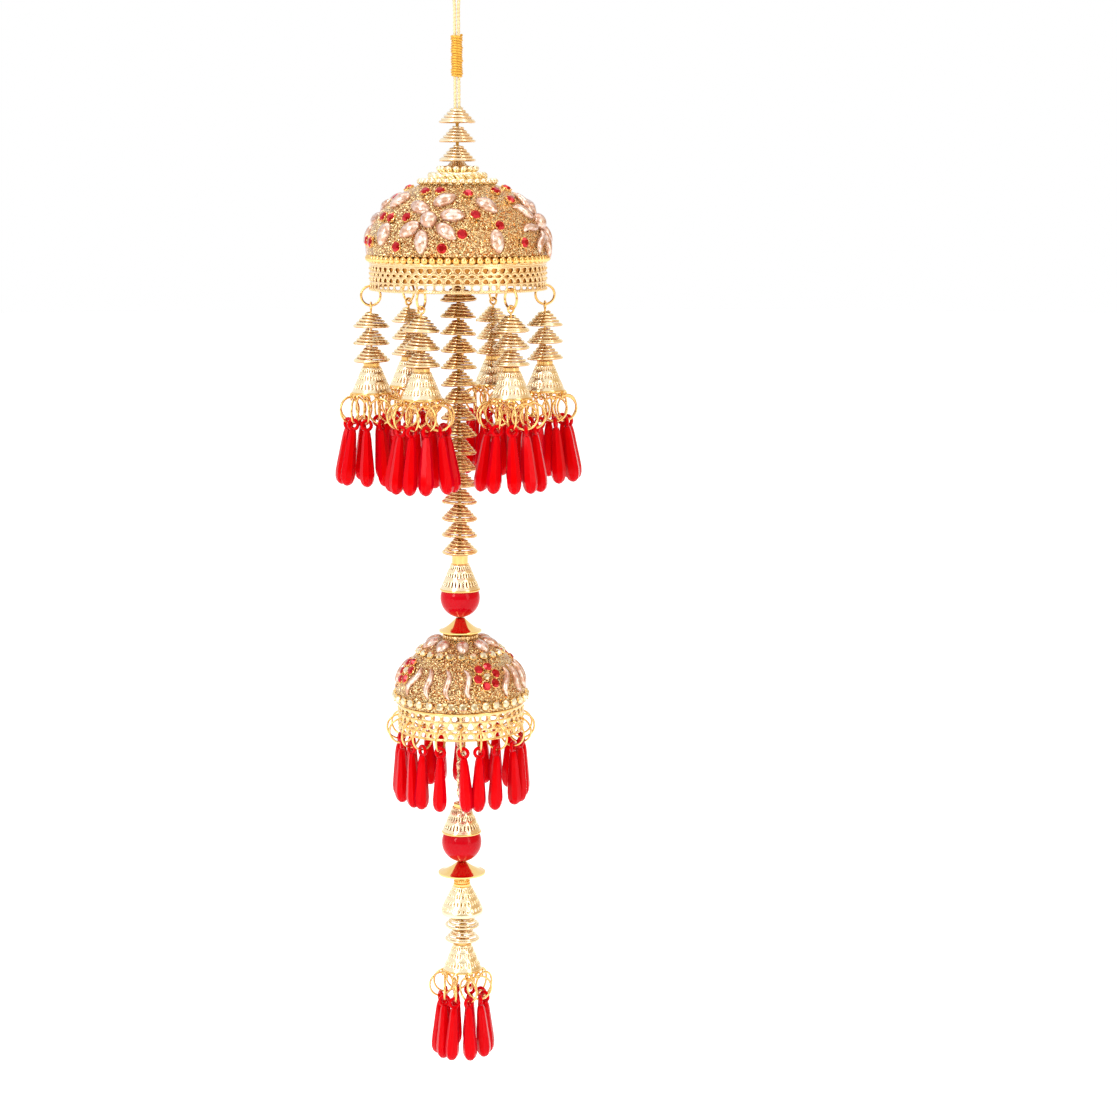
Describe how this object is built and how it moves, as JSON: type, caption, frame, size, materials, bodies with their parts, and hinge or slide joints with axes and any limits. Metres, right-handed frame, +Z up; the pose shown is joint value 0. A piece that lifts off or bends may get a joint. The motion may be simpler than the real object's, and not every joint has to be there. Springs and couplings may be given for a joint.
{
  "type": "kalira, one hanging ornament of a bridal pair",
  "caption": "Hanging bridal wrist ornament: beaded strand with a large and a small dome, wire coils, filigree cones and tassels of red drops.",
  "frame": {"origin": "top of the thread loop that it hangs from", "axes": "+Z up along the strand; -Y is the side that faces the camera"},
  "size_m": [0.0912, 0.0868, 0.4127],
  "materials": {
    "metallic_thread": "twisted metallic thread",
    "coiled_wire": "gold-plated wound wire",
    "filigree": "stamped and gold-plated",
    "polished_gold": "polished and gold-plated",
    "glitter_shell": "gold glitter on a moulded shell",
    "clear_stone": "cut and foiled",
    "red_bead": "glossy acrylic",
    "red_drop": "translucent faceted acrylic"
  },
  "bodies": {
    "strand": {"hanging_cord": "metallic_thread", "cord_binding": "metallic_thread", "top_coils": "coiled_wire", "crown_cap": "filigree", "big_dome": "glitter_shell", "ball_row": "polished_gold", "big_band": "filigree", "inner_sleeve": "polished_gold", "upper_wire": "polished_gold", "column_coils": "coiled_wire", "upper_cone": "filigree", "upper_bead": "red_bead", "upper_saucer": "polished_gold", "dome_collar": "filigree", "small_dome": "glitter_shell", "upper_stone_row": "clear_stone", "lower_stone_row": "clear_stone", "small_band": "filigree", "small_dome_rings": "polished_gold", "small_dome_drops": "red_drop", "chain_links": "polished_gold", "lower_wire": "polished_gold", "lower_cone": "filigree", "lower_bead": "red_bead", "lower_saucer": "polished_gold", "shoulder_cone": "filigree", "end_coils": "coiled_wire", "end_cone": "filigree", "end_rings": "polished_gold", "end_drops": "red_drop"},
    "tassel_1": {"tassel_1_hanger": "polished_gold", "tassel_1_coils": "coiled_wire", "tassel_1_cone": "filigree", "tassel_1_rings": "polished_gold", "tassel_1_drops": "red_drop"},
    "tassel_2": {"tassel_2_hanger": "polished_gold", "tassel_2_coils": "coiled_wire", "tassel_2_cone": "filigree", "tassel_2_rings": "polished_gold", "tassel_2_drops": "red_drop"},
    "tassel_3": {"tassel_3_hanger": "polished_gold", "tassel_3_coils": "coiled_wire", "tassel_3_cone": "filigree", "tassel_3_rings": "polished_gold", "tassel_3_drops": "red_drop"},
    "tassel_4": {"tassel_4_hanger": "polished_gold", "tassel_4_coils": "coiled_wire", "tassel_4_cone": "filigree", "tassel_4_rings": "polished_gold", "tassel_4_drops": "red_drop"},
    "tassel_5": {"tassel_5_hanger": "polished_gold", "tassel_5_coils": "coiled_wire", "tassel_5_cone": "filigree", "tassel_5_rings": "polished_gold", "tassel_5_drops": "red_drop"},
    "tassel_6": {"tassel_6_hanger": "polished_gold", "tassel_6_coils": "coiled_wire", "tassel_6_cone": "filigree", "tassel_6_rings": "polished_gold", "tassel_6_drops": "red_drop"}
  },
  "joints": [
    {"name": "tassel_1_swing", "type": "hinge", "parent": "strand", "child": "tassel_1", "pos_m": [-0.01206, -0.02985, -0.11865], "axis": [-0.9272, 0.3746, 0], "range_deg": [-3, 40]},
    {"name": "tassel_2_swing", "type": "hinge", "parent": "strand", "child": "tassel_2", "pos_m": [0.01982, -0.02537, -0.11865], "axis": [-0.788, -0.6157, 0], "range_deg": [-3, 40]},
    {"name": "tassel_3_swing", "type": "hinge", "parent": "strand", "child": "tassel_3", "pos_m": [0.03189, 0.00448, -0.11865], "axis": [0.1392, -0.9903, 0], "range_deg": [-3, 40]},
    {"name": "tassel_4_swing", "type": "hinge", "parent": "strand", "child": "tassel_4", "pos_m": [0.01206, 0.02985, -0.11865], "axis": [0.9272, -0.3746, 0], "range_deg": [-3, 40]},
    {"name": "tassel_5_swing", "type": "hinge", "parent": "strand", "child": "tassel_5", "pos_m": [-0.01982, 0.02537, -0.11865], "axis": [0.788, 0.6157, 0], "range_deg": [-3, 40]},
    {"name": "tassel_6_swing", "type": "hinge", "parent": "strand", "child": "tassel_6", "pos_m": [-0.03189, -0.00448, -0.11865], "axis": [-0.1392, 0.9903, 0], "range_deg": [-3, 40]}
  ]
}
